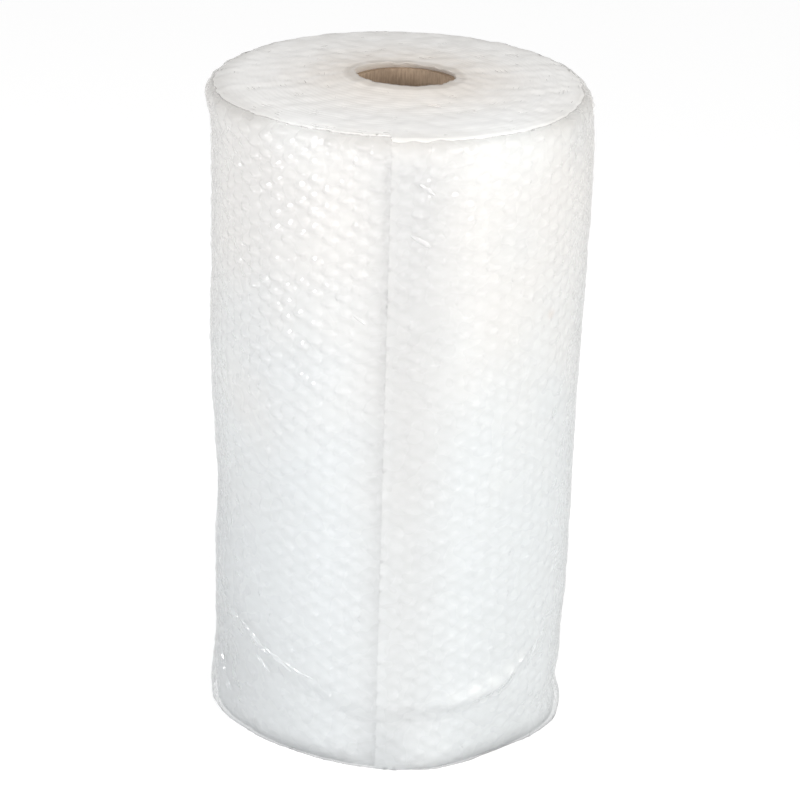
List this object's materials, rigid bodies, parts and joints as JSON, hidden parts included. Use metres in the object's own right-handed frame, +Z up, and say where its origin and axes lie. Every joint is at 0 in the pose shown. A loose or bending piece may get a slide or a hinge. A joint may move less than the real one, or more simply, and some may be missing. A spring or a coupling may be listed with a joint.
{
  "type": "bubble wrap roll",
  "caption": "Tall roll of translucent air bubble cushioning film wound on a cardboard tube, standing on its end with its free edge loose.",
  "frame": {"origin": "on the roll's axis, at the foot that it stands on", "axes": "+Z up along the roll's axis, -Y towards the side with the film's free end"},
  "size_m": [0.2848, 0.2868, 0.5],
  "materials": {
    "film": "translucent glossy polyethylene film",
    "cardboard": "matt brown board, wound on a slant"
  },
  "bodies": {
    "root": {"bubble_film": "film", "core_tube": "cardboard"}
  },
  "joints": []
}
